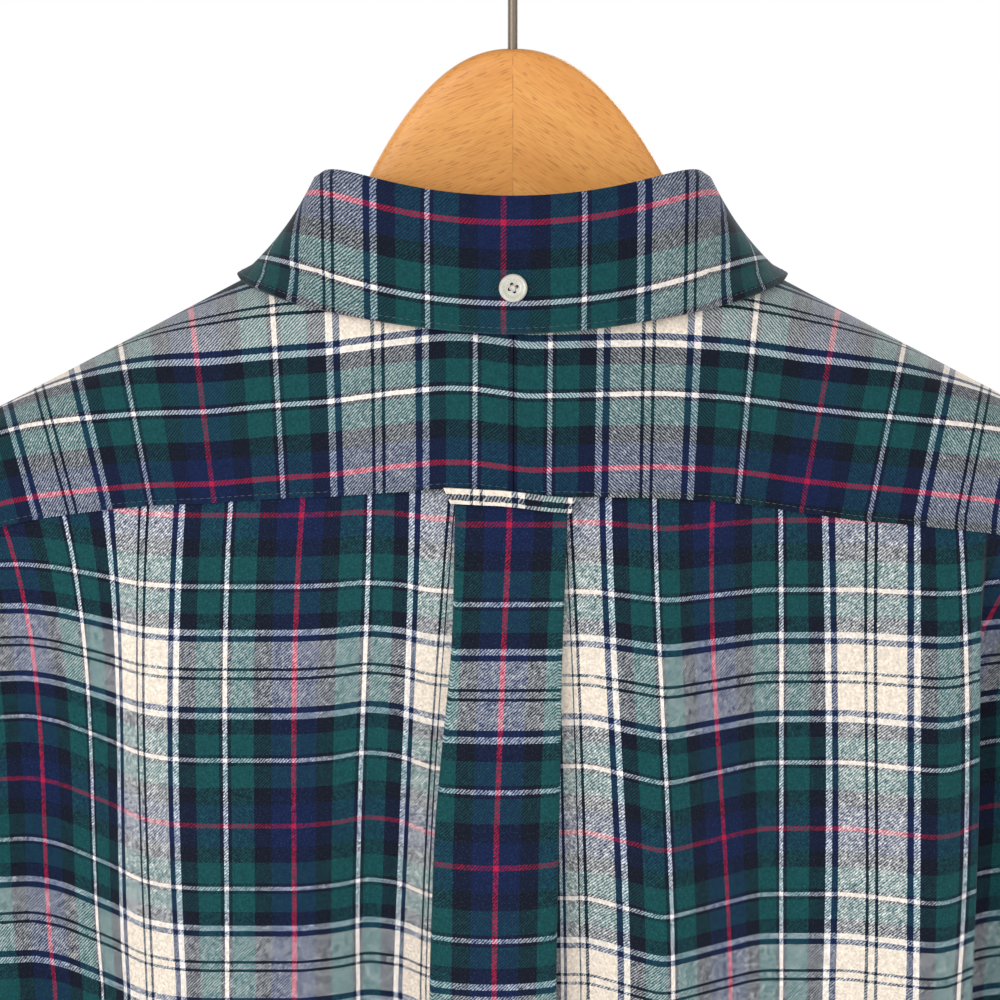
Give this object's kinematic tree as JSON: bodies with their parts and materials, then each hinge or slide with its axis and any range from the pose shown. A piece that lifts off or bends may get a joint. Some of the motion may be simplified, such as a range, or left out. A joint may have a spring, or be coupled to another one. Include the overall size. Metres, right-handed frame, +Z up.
{
  "type": "flannel shirt on a wooden hanger",
  "caption": "Long-sleeved plaid flannel shirt with a back box pleat and locker loop, hanging on a contoured wooden hanger with a wire hook.",
  "frame": {"origin": "the seat of the hanger's hook, at the top of its inside, where a rail carries it", "axes": "+Z up along the hook's shank, +X towards the wearer's right, +Y the way the shirt's front faces"},
  "size_m": [0.723, 0.1344, 0.9115],
  "materials": {
    "flannel_body": "brushed twill plaid in green, navy, cream and red",
    "flannel_trim": "the same plaid, two layers thick",
    "beech": "satin lacquered",
    "steel": "satin wire",
    "button": "ivory, slightly glossy"
  },
  "bodies": {
    "root": {"back_panel": "flannel_body", "collar": "flannel_trim", "collar_button_back": "button", "collar_button_left": "button", "collar_button_right": "button", "collar_stand": "flannel_trim", "cuff_button_left": "button", "cuff_button_right": "button", "cuff_left": "flannel_trim", "cuff_right": "flannel_trim", "front_button_1": "button", "front_button_2": "button", "front_button_3": "button", "front_button_4": "button", "front_button_5": "button", "front_button_6": "button", "front_left": "flannel_body", "front_placket": "flannel_trim", "front_right": "flannel_body", "hanger_left": "beech", "hanger_right": "beech", "hook": "steel", "locker_loop": "flannel_trim", "sleeve_left": "flannel_body", "sleeve_placket_left": "flannel_trim", "sleeve_placket_right": "flannel_trim", "sleeve_right": "flannel_body", "yoke_left": "flannel_body", "yoke_right": "flannel_body"}
  },
  "joints": []
}
